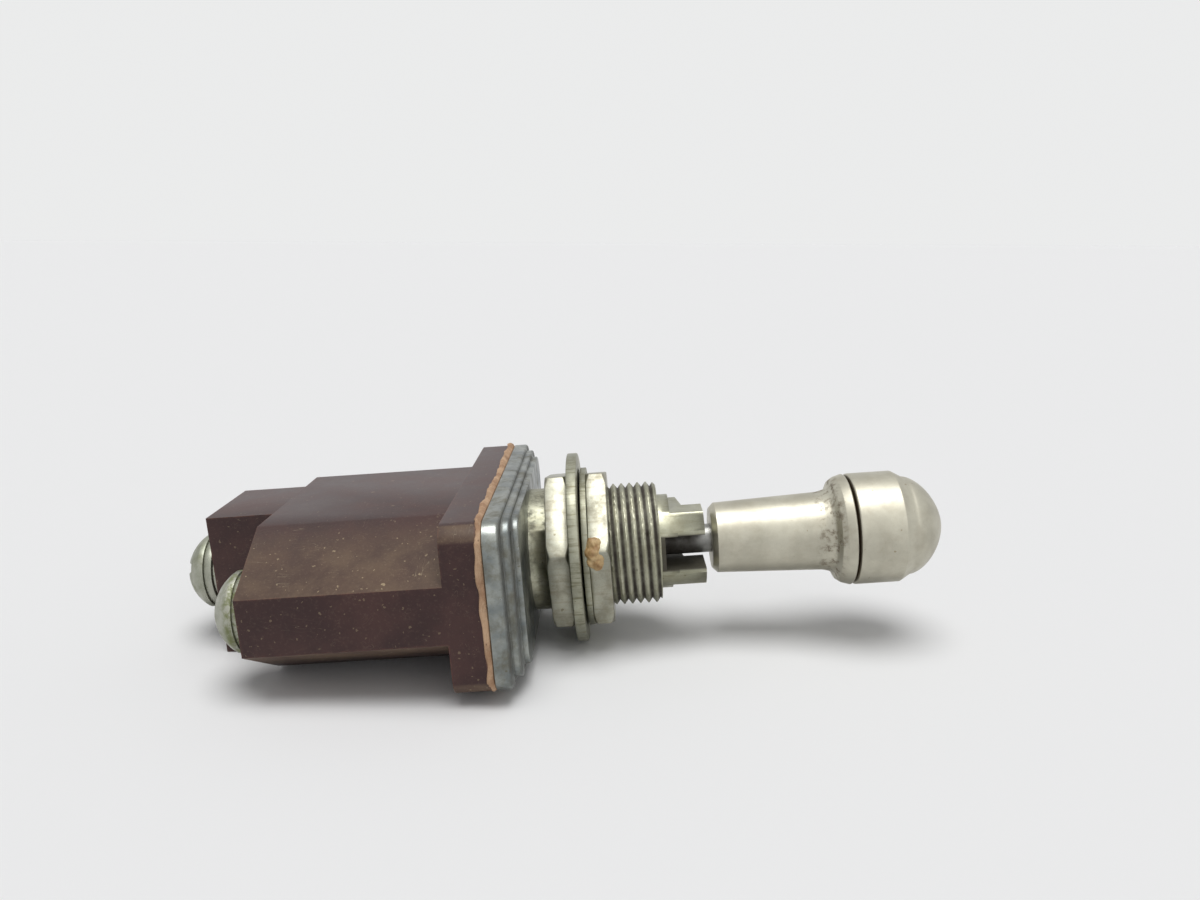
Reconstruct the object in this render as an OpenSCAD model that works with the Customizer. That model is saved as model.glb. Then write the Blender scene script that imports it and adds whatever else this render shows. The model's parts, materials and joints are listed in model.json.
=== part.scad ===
// Sealed single-pole panel toggle switch with a pull-to-move lever.
// +X runs along the bushing towards the lever tip, +Y along the long side of the
// case, +Z across its short side. The origin is on the bushing axis, at the front
// face of the cover, where the rear nut's collar begins. All sizes in millimetres.

/* [Case] */
// Length of the case, along Y
case_l = 33.2; // [32:0.1:38]
// Height of the case flange, along Z
case_h = 15.1; // [14.7:0.1:17]
// Radius of the flange's four corners
corner_r = 1.9; // [1:0.1:2.4]
// Thickness of the flange that carries the gasket
flange_t = 3.1; // [2:0.1:4]
// How far the moulded body stays inside the flange, on its two broad faces
body_inset = 0.85; // [0.3:0.05:1.2]
// Depth of the moulded body behind the flange, to the end terminals
body_d = 17.4; // [17:0.1:21]
// Extra depth of the centre block behind the end terminals
block_d = 6.3; // [4:0.1:8]
// Width of the centre block, along Y
block_w = 10.2; // [9:0.1:11]
// Width of the flat on each broad face, between the chamfers
flat_w = 18.2; // [15:0.1:18.8]
// Height of the upright band left on each narrow end
end_band_h = 5.1; // [4:0.1:6]
// Moulded wall thickness
wall = 1.6; // [1.3:0.1:1.8]
// Depth of the contact chamber behind the flange face
chamber_d = 14.0; // [13.6:0.1:14.4]

/* [Cover and gasket] */
// Thickness of the rubber gasket
gasket_t = 0.45; // [0.4:0.05:0.8]
// Height of the cover's outer rim
rim_h = 1.45; // [1.3:0.05:2.2]
// Height of the cover's middle step
step_h = 0.7; // [0.5:0.05:0.9]
// Height of the cover's front step
front_h = 0.55; // [0.4:0.05:0.8]
// How far each step is set in from the one behind it, along Y
step_in = 1.75; // [1.2:0.05:2]
// How far each step is set in from the one behind it, along Z
side_in = 0.35; // [0.2:0.05:0.4]
// Sheet thickness of the drawn cover
cover_t = 0.75; // [0.6:0.05:0.9]
// Length of the well pressed into the middle step at each end
well_l = 3.0; // [2:0.1:3.6]
// Width of that well
well_w = 0.7; // [0.5:0.05:0.9]

/* [Bushing] */
// Outside diameter of the thread
thread_d = 11.9; // [11.7:0.05:12.1]
// Diameter at the middle of the thread's flanks, where the nuts hold it
pitch_d = 11.4; // [11.3:0.05:11.5]
// Length of the plain collar in front of the cover
collar_l = 1.7; // [1.5:0.1:3]
// Length of the thread
thread_l = 10.6; // [10.2:0.1:13]
// Diameter of the neck in front of the thread
neck_d = 9.2; // [9:0.1:9.6]
// Length of the neck, up to the gate
neck_l = 1.7; // [1.4:0.1:2]
// Height of the gate posts above the neck
post_h = 2.6; // [2.2:0.1:3]
// Depth of each gate post, along Y
post_w = 3.9; // [3:0.1:4.1]
// Height over the flats of the two gate walls, along Z
gate_h = 7.2; // [7:0.1:7.6]
// Slope of the gate's low side, falling away from the posts, in degrees
gate_slope = 8; // [4:1:16]
// Width of the slot that the lever swings in
slot_w = 3.3; // [3.2:0.05:3.5]
// Diameter of the flange that seats behind the cover
seat_d = 13.6; // [13.4:0.1:14]
// Thickness of that flange
seat_t = 0.8; // [0.6:0.05:1]

/* [Panel hardware] */
// Size across the flats of both hexagon nuts
nut_af = 14.3; // [14:0.1:14.6]
// Thickness of the rear nut
rear_nut_t = 2.15; // [1.8:0.05:2.4]
// Thickness of the front nut
front_nut_t = 1.95; // [1.8:0.05:2.4]
// Chamfer on the corners of both nuts
nut_chamfer = 0.55; // [0.3:0.05:0.8]
// How far the rear nut is turned, in degrees
rear_nut_turn = 18.5; // [0:0.5:60]
// How far the front nut is turned, in degrees
front_nut_turn = 17; // [0:0.5:60]
// Diameter of the locking ring
ring_d = 18.5; // [18:0.1:19]
// Thickness of the locking ring
ring_t = 1.0; // [0.8:0.05:1.2]
// Width of the keyway in the bushing and of the ring's key
key_w = 1.6; // [1.2:0.1:2]
// Depth of the keyway
key_depth = 0.7; // [0.5:0.05:0.75]
// Diameter of the toothed lock washer
washer_d = 15.5; // [15:0.1:16]
// Thickness of the toothed lock washer
washer_t = 0.55; // [0.4:0.05:0.7]
// Open space between the locking ring and the lock washer
stack_gap = 0.2; // [0.1:0.05:0.6]

/* [Lever] */
// Distance of the lever's pivot in front of the cover
pivot_x = 7.2; // [7:0.1:7.4]
// Diameter of the lever's ball
ball_d = 7.8; // [7.4:0.1:7.9]
// Diameter of the lever's shaft
shaft_d = 2.8; // [2.4:0.1:2.9]
// Diameter of the lever's tail
tail_d = 4.4; // [4.2:0.1:4.4]
// Length of the tail behind the pivot
tail_l = 15.2; // [14.8:0.1:15.4]
// Diameter of the plunger in the tail
plunger_d = 2.8; // [2.4:0.1:3]
// How far the plunger's nose reaches behind the pivot
plunger_reach = 19.0; // [18.8:0.1:19.1]
// Diameter of the pivot pin
pin_d = 1.6; // [1.4:0.1:2]
// Swing of the lever to each side, in degrees
lever_swing = 16; // [12:1:16]
// Running clearance of the sliding and turning fits, on the radius
fit_gap = 0.05; // [0.02:0.01:0.09]

/* [Handle] */
// Gap between the gate posts and the sleeve when the lever is let go
sleeve_gap = 0.75; // [0.75:0.05:1.2]
// Diameter of the sleeve's small end
sleeve_d = 6.95; // [6.8:0.05:7.4]
// Diameter of the sleeve where the flare begins
waist_d = 7.7; // [7.5:0.05:8.2]
// Length of the sleeve's tapered part
taper_l = 10.7; // [10:0.1:13]
// Length of the flare, up to the knob
flare_l = 2.7; // [2.2:0.1:3.4]
// Diameter of the knob
knob_d = 10.9; // [10.6:0.1:11.6]
// Length of the knob's cylinder
knob_l = 4.3; // [3.6:0.1:6]
// Width of the groove between sleeve and knob
groove_w = 0.3; // [0.2:0.05:0.5]
// Height of the knob's cone in front of the cylinder
cone_h = 0.75; // [0.5:0.05:1]
// Diameter of the dome's foot
dome_d = 9.2; // [8.8:0.1:9.4]
// Height of the dome
dome_h = 3.9; // [3.2:0.1:4.2]
// How far the handle can be pulled out
pull = 2.6; // [2:0.1:2.8]

/* [Terminals] */
// Distance of the end terminals in from the ends of the case
terminal_inset = 4.4; // [4.3:0.1:4.8]
// Diameter of the terminal screws' thread
screw_d = 3.5; // [3:0.1:3.5]
// Diameter of the screw heads
head_d = 7.2; // [6.6:0.1:7.6]
// Height of the screw heads
head_h = 2.5; // [1.8:0.1:2.8]
// Thickness of the washer under each head
screw_washer_t = 0.8; // [0.6:0.05:1.1]
// Width of the screwdriver slots
driver_w = 1.1; // [0.8:0.1:1.3]
// Thickness of the second washer on the centre terminal
spare_washer_t = 1.1; // [0.8:0.1:1.4]
// Outside diameter of the threaded inserts
insert_d = 5.4; // [5:0.1:5.6]
// Space left inside the inserts, in front of the screws' tips
tip_room = 1.0; // [0.5:0.1:1.5]

/* [Hidden] */

$fn = 96;
eps = 0.01;
// how far a cutting shape runs past the faces that it cuts
over = 1;

// Colours
phenolic = [0.33, 0.19, 0.18];
peach = [0.83, 0.63, 0.47];
steel = [0.62, 0.63, 0.62];
nickel = [0.74, 0.74, 0.70];
brass = [0.72, 0.58, 0.32];
copper = [0.70, 0.42, 0.28];
black_rubber = [0.10, 0.10, 0.11];
spring_steel = [0.45, 0.46, 0.48];

// Places along X, from the cover's front face backwards
cover_back_x = -(rim_h + step_h + front_h);
flange_front_x = cover_back_x - gasket_t;
flange_back_x = flange_front_x - flange_t;
end_x = flange_back_x - body_d;
block_x = end_x - block_d;
chamber_x = flange_front_x - chamber_d;
body_h = case_h - 2 * body_inset;
terminal_y = case_l / 2 - terminal_inset;
gasket_lip = 0.2;

// Places along X, from the cover's front face forwards
rear_nut_x = collar_l;
ring_x = rear_nut_x + rear_nut_t;
washer_x = ring_x + ring_t + stack_gap;
front_nut_x = washer_x + washer_t;
thread_x = collar_l + thread_l;
gate_x = thread_x + neck_l;
post_x = gate_x + post_h;
slot_sink = 1.2;
slot_x = gate_x - slot_sink;
sleeve_x = post_x + sleeve_gap;
flare_x = sleeve_x + taper_l;
collar_x = flare_x + flare_l;
knob_x = collar_x + groove_w;

// The bore of the bushing, from its back to the slot
seat_x = -cover_t;
seat_back_x = seat_x - seat_t;
bore_r = ball_d / 2 + 2 * fit_gap;
rear_bore_r = 5.2;
ball_room_x = pivot_x - ball_d / 2 + 1;
ball_seat_x = pivot_x + 0.6;
mouth_r = 3.4;
mouth_h = 0.8;
mouth_x = slot_x - mouth_h;
seal_wire = 1.0;
seal_play = 1.1;
seal_r = shaft_d / 2 + seal_play + seal_wire / 2;
seal_gap = 0.03;
seal_x = pivot_x + sqrt(pow((ball_d + seal_wire) / 2 + seal_gap, 2) - pow(seal_r, 2));
seal_bore_r = seal_r + seal_wire / 2 + fit_gap;
seal_room_x = seal_x + seal_wire / 2 + seal_gap;
thread_bevel = 0.35;
thread_depth = 0.5;
pin_cover = 0.45;
pin_l = thread_d - 2 * (thread_depth + pin_cover);
front_nut_end = front_nut_x + front_nut_t;
crest_step = (thread_d - pitch_d) / 2;

// The gate, cut away on its far side so that the lever can swing there
gate_set_in = 0.5;
gate_near_y = -neck_d / 2 + gate_set_in;
gate_wall_back = gate_x - 0.6;
far_wall_h = 0.7;
far_cut_x = gate_x + far_wall_h;

// The lever and what it carries
plunger_r = plunger_d / 2;
tail_end_x = pivot_x - tail_l;
nose_x = pivot_x - plunger_reach;
plunger_l = 7.6;
plunger_back = nose_x + plunger_l;
plunger_spring_l = 5.4;
tail_bore_end = plunger_back + plunger_spring_l;
spring_wire = 0.4;
plunger_wire = 0.32;
coil_gap = 0.25;
plunger_coil_r = plunger_r - plunger_wire / 2 - coil_gap;
spring_nut_d = 4.6;
spring_nut_t = 2.0;
spring_nut_set = 1.4;
spring_nut_x = flare_x - spring_nut_set;
lever_end_x = spring_nut_x + spring_nut_t;
sleeve_floor = 2.2;
shoulder_x = sleeve_x + sleeve_floor;
spring_room_d = 5.2;
spring_room_end = 0.6;
coil_r = shaft_d / 2 + spring_wire / 2 + coil_gap;
spigot_d = 7.6;
spigot_l = 3.0;

// The rocker
rocker_angle = 15;
arm_l = 8.2;
arm_t = 0.9;
arm_w = 4.0;
nose_gap = 0.5;
apex_x = nose_x - nose_gap;
hinge_gap = 1.0;
hinge_x = apex_x - hinge_gap;
barrel_d = 2.2;
rocker_pin_d = 1.2;
rocker_ratio = 10 / 16;
terminal_plate_t = 0.8;
terminal_plate_w = 2.6;
rivet_r = 1.2;
contact_d = 2.2;
contact_t = 0.5;
contact_at = 7.4;
cheek_t = 0.6;
cheek_gap = 0.15;
cheek_w = 3.6;
cheek_top = 1.2;

// Where a rocker contact lands when the rocker is tipped all the way
land_u = hinge_gap + contact_at * sin(rocker_angle)
    - (arm_t + contact_t) * cos(rocker_angle);
land_v = contact_at * cos(rocker_angle) + (arm_t + contact_t) * sin(rocker_angle);
tip = lever_swing * rocker_ratio;
land_gap = 0.12;
land_x = hinge_x + land_u * cos(tip) - land_v * sin(tip) - land_gap;
land_y = land_u * sin(tip) + land_v * cos(tip);

// The terminal screws, all of one length
insert_l = chamber_x - end_x;
screw_l = insert_l - tip_room + screw_washer_t;
screw_rim = 0.5;
slot_share = 0.4;
washer_od = head_d - 0.3;
spare_washer_od = head_d - 0.9;

// Places children that are drawn along +Z so that they run along +X from x
module at_x(x) {
    translate([x, 0, 0]) rotate([0, 90, 0]) children();
}

// A round bar along X from x0 to x1
module bar(x0, x1, r) {
    at_x(x0) cylinder(h = x1 - x0, r = r);
}

// A solid turned about the X axis, from [x, radius] points
module turned(points) {
    rotate([0, 90, 0]) rotate_extrude() polygon([for (p = points) [p[1], p[0]]]);
}

// A plate across the X axis with rounded corners, wide along Y and high along Z
module rounded_plate(x0, x1, w, h, r) {
    translate([x0, 0, 0]) rotate([90, 0, 90]) linear_extrude(x1 - x0) union() {
        square([w - 2 * r, h], center = true);
        square([w, h - 2 * r], center = true);
        for (sy = [-1, 1], sz = [-1, 1])
            translate([sy * (w / 2 - r), sz * (h / 2 - r)]) circle(r);
    }
}

// The eight-sided outline of the body in the YZ plane, drawn in by a wall
module body_outline(inset) {
    high = body_h / 2 - inset;
    far = case_l / 2 - inset;
    // keeps the slanted wall as thick as the others
    run = case_l / 2 - flat_w / 2;
    rise = (body_h - end_band_h) / 2;
    slant = inset * sqrt(run * run + rise * rise) / run;
    band = body_h / 2 - slant - rise * (far - flat_w / 2) / run;
    shoulder = flat_w / 2 - (slant - inset) * run / rise;
    half = [[shoulder, high], [far, band], [far, -band], [shoulder, -high]];
    polygon(concat(half, [for (i = [3:-1:0]) [-half[i][0], half[i][1]]]));
}

module along_body(x0, x1) {
    translate([x0, 0, 0]) rotate([90, 0, 90]) linear_extrude(x1 - x0) children();
}

// A closed coil along +X from x0 to x1, swept as one tube
module coil(x0, x1, r, wire, turns) {
    sides = 8;
    steps = 14;
    n = turns * steps;
    lift = (x1 - x0 - wire) / n;
    ring = [for (i = [0:n]) for (j = [0:sides - 1])
        let (a = 360 * i / steps, b = 360 * j / sides, rr = r + wire / 2 * cos(b))
        [x0 + wire / 2 + lift * i + wire / 2 * sin(b), rr * cos(a), rr * sin(a)]];
    walls = [for (i = [0:n - 1]) for (j = [0:sides - 1])
        let (k = (j + 1) % sides, p = i * sides)
        [p + j, p + k, p + sides + k, p + sides + j]];
    foot = [[for (j = [sides - 1:-1:0]) j]];
    head = [[for (j = [0:sides - 1]) n * sides + j]];
    polyhedron(ring, concat(foot, walls, head), convexity = 6);
}

// A hexagon nut along X, with its corners turned down on both faces
module hex_nut(x, t, turn) {
    corner = nut_af / sqrt(3);
    fall = nut_chamfer * tan(30);
    difference() {
        intersection() {
            rotate([turn, 0, 0]) at_x(x) cylinder(h = t, r = corner, $fn = 6);
            turned([[x, 0], [x, corner - nut_chamfer], [x + fall, corner],
                [x + t - fall, corner], [x + t, corner - nut_chamfer], [x + t, 0]]);
        }
        bar(x - over, x + t + over, pitch_d / 2);
    }
}

module case() {
    color(phenolic) difference() {
        union() {
            rounded_plate(flange_back_x, flange_front_x, case_l, case_h, corner_r);
            along_body(end_x, flange_back_x) body_outline(0);
            along_body(block_x, end_x) intersection() {
                body_outline(0);
                square([block_w, case_h], center = true);
            }
        }
        along_body(chamber_x, flange_front_x + over) body_outline(wall);
        for (side = [-1, 1]) translate([0, side * terminal_y, 0])
            bar(end_x - over, chamber_x + over, insert_d / 2);
        bar(block_x - over, chamber_x + over, insert_d / 2);
    }
}

module case_gasket() {
    color(peach) difference() {
        rounded_plate(flange_front_x, cover_back_x, case_l, case_h, corner_r);
        along_body(flange_front_x - over, cover_back_x + over) body_outline(wall + gasket_lip);
    }
}

// One of the cover's steps: 0 is the rim, 1 the middle, 2 the front
module cover_step(level, x0, x1, less) {
    w = case_l - 2 * level * step_in - 2 * less;
    h = case_h - 2 * level * side_in - 2 * less;
    rounded_plate(x0, x1, w, h, corner_r - less);
}

module cover() {
    rim_x = cover_back_x + rim_h;
    step_x = rim_x + step_h;
    well_y = case_l / 2 - 2 * step_in + well_w;
    well_z = case_h / 2 - 2 * side_in - well_w - well_l / 2;
    color(steel) difference() {
        union() {
            cover_step(0, cover_back_x, rim_x, 0);
            cover_step(1, rim_x, step_x, 0);
            cover_step(2, step_x, 0, 0);
        }
        cover_step(0, cover_back_x - over, rim_x - cover_t, cover_t);
        cover_step(1, cover_back_x - over, step_x - cover_t, cover_t);
        cover_step(2, cover_back_x - over, seat_x, cover_t);
        bar(seat_x - over, over, thread_d / 2);
        // a shallow well in the middle step at each end, rounded at its top and bottom
        for (side = [-1, 1]) translate([step_x, side * well_y, well_z]) {
            cube([step_h, well_w, well_l - well_w], center = true);
            for (up = [-1, 1]) translate([-step_h / 2, 0, up * (well_l - well_w) / 2])
                rotate([0, 90, 0]) cylinder(h = step_h, d = well_w, $fn = 24);
        }
    }
}

module bushing() {
    color(nickel) difference() {
        union() {
            seat_flange();
            bar(seat_x, collar_l, thread_d / 2);
            thread_body();
            bar(thread_x, gate_x, neck_d / 2);
            intersection() {
                bar(gate_x - eps, post_x, neck_d / 2);
                gate_walls();
            }
        }
        bushing_bore();
        lever_slot();
        far_cut();
        pin_pocket();
        keyway();
        // flats on the two outer faces of the gate
        for (up = [-1, 1]) translate([gate_wall_back, -neck_d, up * gate_h / 2 - (up < 0 ? neck_d : 0)])
            cube([post_h + 2 * over, 2 * neck_d, neck_d]);
    }
}

// The threaded length: full diameter where it is free or carries a washer, and
// down to the middle of its flanks under the two nuts, where threads share the depth
module thread_body() {
    crest = thread_d / 2;
    flank = pitch_d / 2;
    turned([[collar_l, 0], [collar_l, flank], [ring_x, flank], [ring_x, crest],
        [front_nut_x, crest], [front_nut_x, flank], [front_nut_end, flank],
        [front_nut_end + crest_step, crest], [thread_x - thread_bevel, crest],
        [thread_x, crest - thread_bevel], [thread_x, 0]]);
}

// The flange that seats behind the cover, flattened to fit between its long walls
module seat_flange() {
    room_h = case_h - 4 * side_in - 2 * cover_t;
    intersection() {
        bar(seat_back_x, seat_x, seat_d / 2);
        translate([seat_back_x, -seat_d / 2, -room_h / 2]) cube([seat_t, seat_d, room_h]);
    }
}

// The two walls that stand beside the lever, as wide as the posts on the near side
module gate_walls() {
    translate([gate_x - over, gate_near_y, -gate_h / 2])
        cube([post_h + over, neck_d, gate_h]);
}

module bushing_bore() {
    turned([[seat_back_x - over, 0], [seat_back_x - over, rear_bore_r],
        [seat_back_x, rear_bore_r], [ball_room_x, bore_r], [ball_seat_x, bore_r],
        [seal_x - seal_wire / 2, seal_bore_r], [seal_room_x, seal_bore_r],
        [seal_room_x, mouth_r], [mouth_x, mouth_r], [mouth_x, 0]]);
    // the mouth is as wide as the lever's swing but only as high as the slot
    translate([mouth_x - over / 2, -mouth_r, -slot_w / 2])
        cube([mouth_h + over, 2 * mouth_r, slot_w]);
}

module lever_slot() {
    translate([slot_x, -neck_d, -slot_w / 2]) cube([post_h + gate_x, 2 * neck_d, slot_w]);
}

// Takes the far half of the gate down to a floor that slopes with the swung lever
module far_cut() {
    size = [post_h + 4 * over, 2 * neck_d, 2 * neck_d];
    translate([far_cut_x, gate_near_y + post_w, -neck_d]) {
        rotate([0, 0, gate_slope]) cube(size);
        cube(size);
    }
}

module pin_pocket() {
    translate([pivot_x, 0, 0]) cylinder(h = pin_l, d = pin_d, center = true);
}

module keyway() {
    translate([collar_l, -key_w / 2, -thread_d / 2 - over])
        cube([thread_l + over, key_w, key_depth + over]);
}

module rear_nut() {
    color(nickel) hex_nut(rear_nut_x, rear_nut_t, rear_nut_turn);
}

module front_nut() {
    color(nickel) hex_nut(front_nut_x, front_nut_t, front_nut_turn);
}

module locking_ring() {
    key_root = 0.3;
    color(nickel) union() {
        difference() {
            bar(ring_x, ring_x + ring_t, ring_d / 2);
            bar(ring_x - over, ring_x + ring_t + over, thread_d / 2 + fit_gap);
        }
        // the key that drops into the bushing's keyway
        translate([ring_x, -key_w / 2 + fit_gap, -thread_d / 2 - key_root])
            cube([ring_t, key_w - 2 * fit_gap, key_root + key_depth - fit_gap]);
    }
}

module lock_washer() {
    teeth = 20;
    notch_w = 0.6;
    notch_h = 0.6;
    bore = thread_d / 2 + 2 * fit_gap;
    color(steel) difference() {
        bar(washer_x, washer_x + washer_t, washer_d / 2);
        bar(washer_x - over, washer_x + washer_t + over, bore);
        for (i = [0:teeth - 1]) rotate([360 * i / teeth, 0, 0])
            translate([washer_x - over, -notch_w / 2, bore - over])
                cube([washer_t + 2 * over, notch_w, over + notch_h]);
    }
}

module lever() {
    color(steel) difference() {
        union() {
            translate([pivot_x, 0, 0]) rotate([0, 90, 0]) sphere(d = ball_d);
            bar(pivot_x, lever_end_x, shaft_d / 2);
            bar(tail_end_x, pivot_x, tail_d / 2);
        }
        translate([pivot_x, 0, 0])
            cylinder(h = ball_d + 2 * over, d = pin_d + 2 * fit_gap, center = true);
        bar(tail_end_x - over, tail_bore_end, plunger_r + fit_gap);
    }
}

module pivot_pin() {
    color(spring_steel) translate([pivot_x, 0, 0])
        cylinder(h = pin_l, d = pin_d, center = true);
}

module lever_seal() {
    color(black_rubber) translate([seal_x, 0, 0]) rotate([0, 90, 0])
        rotate_extrude() translate([seal_r, 0]) circle(d = seal_wire, $fn = 32);
}

module plunger() {
    color(brass) union() {
        bar(nose_x + plunger_r, plunger_back, plunger_r);
        translate([nose_x + plunger_r, 0, 0]) rotate([0, 90, 0]) sphere(r = plunger_r);
    }
}

module plunger_spring() {
    color(spring_steel)
        coil(plunger_back, tail_bore_end, plunger_coil_r, plunger_wire, 6);
}

module handle_sleeve() {
    small = sleeve_d / 2;
    waist = waist_d / 2;
    rim = knob_d / 2;
    edge = 0.3;
    swell = [for (t = [0:0.125:1]) [flare_x + flare_l * t, waist + (rim - waist) * sin(90 * t)]];
    color(nickel) difference() {
        turned(concat([[sleeve_x, 0], [sleeve_x, small - edge], [sleeve_x + edge, small]], swell,
            [[collar_x, spigot_d / 2], [collar_x + spigot_l, spigot_d / 2],
            [collar_x + spigot_l, 0]]));
        bar(sleeve_x - over, collar_x, shaft_d / 2 + fit_gap);
        bar(shoulder_x, collar_x + spigot_l + over, spring_room_d / 2);
    }
}

module handle_knob() {
    r = knob_d / 2;
    dome_r = dome_d / 2;
    cone_x = knob_x + knob_l;
    dome_x = cone_x + cone_h;
    ball = (dome_r * dome_r + dome_h * dome_h) / (2 * dome_h);
    sweep = asin(dome_r / ball);
    bevel = 0.15;
    dome = [for (t = [1:-0.1:0]) let (a = sweep * t)
        [dome_x + dome_h - ball + ball * cos(a), ball * sin(a)]];
    color(nickel) difference() {
        turned(concat([[knob_x, 0], [knob_x, r - bevel], [knob_x + bevel, r],
            [cone_x - bevel, r], [cone_x, r - bevel]], dome));
        bar(knob_x - over, collar_x + spigot_l, spigot_d / 2);
        bar(knob_x, collar_x + spigot_l + spring_room_end, spring_room_d / 2);
    }
}

module handle_spring() {
    color(spring_steel) coil(shoulder_x, spring_nut_x, coil_r, spring_wire, 7);
}

module spring_nut() {
    color(steel) difference() {
        bar(spring_nut_x, lever_end_x, spring_nut_d / 2);
        bar(spring_nut_x - over, lever_end_x + over, shaft_d / 2);
    }
}

// One arm of the rocker with its contact button, pointing to +Y for side = 1
module rocker_arm(side) {
    s = sin(rocker_angle);
    c = cos(rocker_angle);
    top = [[0, 0], [arm_l * s, arm_l * c]];
    under = [for (p = [top[1], top[0]]) [p[0] - arm_t * c, p[1] + arm_t * s]];
    root = under[1];
    translate([apex_x, 0, 0]) mirror([0, side < 0 ? 1 : 0, 0]) {
        translate([0, 0, -arm_w / 2]) linear_extrude(arm_w)
            polygon([top[0], top[1], under[0], root, [root[0], 0]]);
        translate([contact_at * s - arm_t * c, contact_at * c + arm_t * s, 0])
            rotate([0, -90, -rocker_angle]) translate([0, 0, -eps])
                cylinder(h = contact_t + eps, d = contact_d);
    }
}

module rocker() {
    color(copper) difference() {
        union() {
            rocker_arm(1);
            rocker_arm(-1);
            translate([hinge_x, 0, 0]) cylinder(h = arm_w, d = barrel_d, center = true);
        }
        translate([hinge_x, 0, 0])
            cylinder(h = arm_w + 2 * over, d = rocker_pin_d + 2 * fit_gap, center = true);
    }
}

module rocker_pin() {
    color(steel) translate([hinge_x, 0, 0])
        cylinder(h = arm_w + 2 * cheek_gap + 2 * cheek_t, d = rocker_pin_d, center = true);
}

// A threaded insert in the back of the case, open towards the screw
module insert(back_x, front_x) {
    difference() {
        bar(back_x, front_x, insert_d / 2);
        bar(back_x - over, back_x + screw_l, screw_d / 2);
    }
}

module centre_terminal() {
    span = arm_w + 2 * cheek_gap;
    color(brass) difference() {
        union() {
            insert(block_x, chamber_x);
            translate([chamber_x, -insert_d / 2, -span / 2 - cheek_t])
                cube([cheek_t, insert_d, span + 2 * cheek_t]);
            for (z = [-span / 2 - cheek_t, span / 2]) translate([chamber_x, -cheek_w / 2, z])
                cube([hinge_x - chamber_x + cheek_top, cheek_w, cheek_t]);
        }
        translate([hinge_x, 0, 0])
            cylinder(h = span + 2 * cheek_t + over, d = rocker_pin_d, center = true);
    }
}

module end_terminal(side) {
    half = terminal_plate_w / 2;
    reach = terminal_y - land_y + half;
    color(brass) union() {
        translate([0, side * terminal_y, 0]) insert(end_x, chamber_x + terminal_plate_t);
        translate([chamber_x, side > 0 ? land_y - half : -terminal_y, -half])
            cube([terminal_plate_t, reach, terminal_plate_w]);
        translate([0, side * land_y, 0]) bar(chamber_x, land_x, rivet_r);
    }
}

module near_terminal() {
    end_terminal(-1);
}

module far_terminal() {
    end_terminal(1);
}

// A slotted terminal screw whose head starts at x and points to -X
module terminal_screw(x, y) {
    r = head_d / 2;
    rise = head_h - screw_rim;
    ball = (r * r + rise * rise) / (2 * rise);
    sweep = asin(r / ball);
    dome = [for (t = [1:-0.125:0]) let (a = sweep * t)
        [x - head_h + ball - ball * cos(a), ball * sin(a)]];
    color(nickel) translate([0, y, 0]) difference() {
        union() {
            turned(concat([[x, 0], [x, r]], dome));
            bar(x, x + screw_l, screw_d / 2);
        }
        translate([x - head_h - over, -head_d, -driver_w / 2])
            cube([over + head_h * slot_share, 2 * head_d, driver_w]);
    }
}

module centre_screw() {
    stack = screw_washer_t + spare_washer_t;
    terminal_screw(block_x - stack, 0);
}

module near_screw() {
    terminal_screw(end_x - screw_washer_t, -terminal_y);
}

module far_screw() {
    terminal_screw(end_x - screw_washer_t, terminal_y);
}

// A flat ring behind the face at x
module flat_washer(x, y, t, d) {
    translate([0, y, 0]) difference() {
        bar(x - t, x, d / 2);
        bar(x - t - over, x + over, screw_d / 2);
    }
}

module terminal_washers() {
    color(steel) {
        for (side = [-1, 1])
            flat_washer(end_x, side * terminal_y, screw_washer_t, washer_od);
        flat_washer(block_x, 0, spare_washer_t, spare_washer_od);
        flat_washer(block_x - spare_washer_t, 0, screw_washer_t, washer_od);
    }
}

case();
case_gasket();
cover();
bushing();
rear_nut();
locking_ring();
lock_washer();
front_nut();
lever();
pivot_pin();
lever_seal();
plunger();
plunger_spring();
handle_sleeve();
handle_knob();
handle_spring();
spring_nut();
rocker();
rocker_pin();
centre_terminal();
near_terminal();
far_terminal();
centre_screw();
near_screw();
far_screw();
terminal_washers();
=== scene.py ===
"""Looks of a sealed panel toggle switch: rounded edges, a cut thread, a drawn cover, a squeezed
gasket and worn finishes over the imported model. Lengths are in metres, except where a name ends
in _mm or _MM and in outlines and rings, which are in millimetres until a piece is made."""
import json
import math
import bpy
from mathutils import Matrix, Vector, noise as lumps


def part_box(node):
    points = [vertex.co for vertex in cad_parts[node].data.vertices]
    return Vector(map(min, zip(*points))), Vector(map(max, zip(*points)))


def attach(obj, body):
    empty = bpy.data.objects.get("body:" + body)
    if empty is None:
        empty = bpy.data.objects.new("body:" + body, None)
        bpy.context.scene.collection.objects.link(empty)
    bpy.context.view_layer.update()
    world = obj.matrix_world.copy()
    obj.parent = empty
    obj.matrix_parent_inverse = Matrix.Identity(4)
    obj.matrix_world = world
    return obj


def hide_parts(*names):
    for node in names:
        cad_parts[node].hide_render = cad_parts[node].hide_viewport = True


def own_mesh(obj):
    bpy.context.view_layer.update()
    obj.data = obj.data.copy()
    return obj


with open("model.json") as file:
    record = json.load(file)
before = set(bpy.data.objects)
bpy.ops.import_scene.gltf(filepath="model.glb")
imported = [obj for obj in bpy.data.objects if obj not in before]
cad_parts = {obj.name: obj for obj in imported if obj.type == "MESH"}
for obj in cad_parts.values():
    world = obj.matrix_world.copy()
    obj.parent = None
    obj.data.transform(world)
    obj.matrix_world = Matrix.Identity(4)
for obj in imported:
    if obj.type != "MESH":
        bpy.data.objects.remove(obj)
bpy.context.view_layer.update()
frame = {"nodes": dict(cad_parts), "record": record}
MM = 0.001

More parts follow.
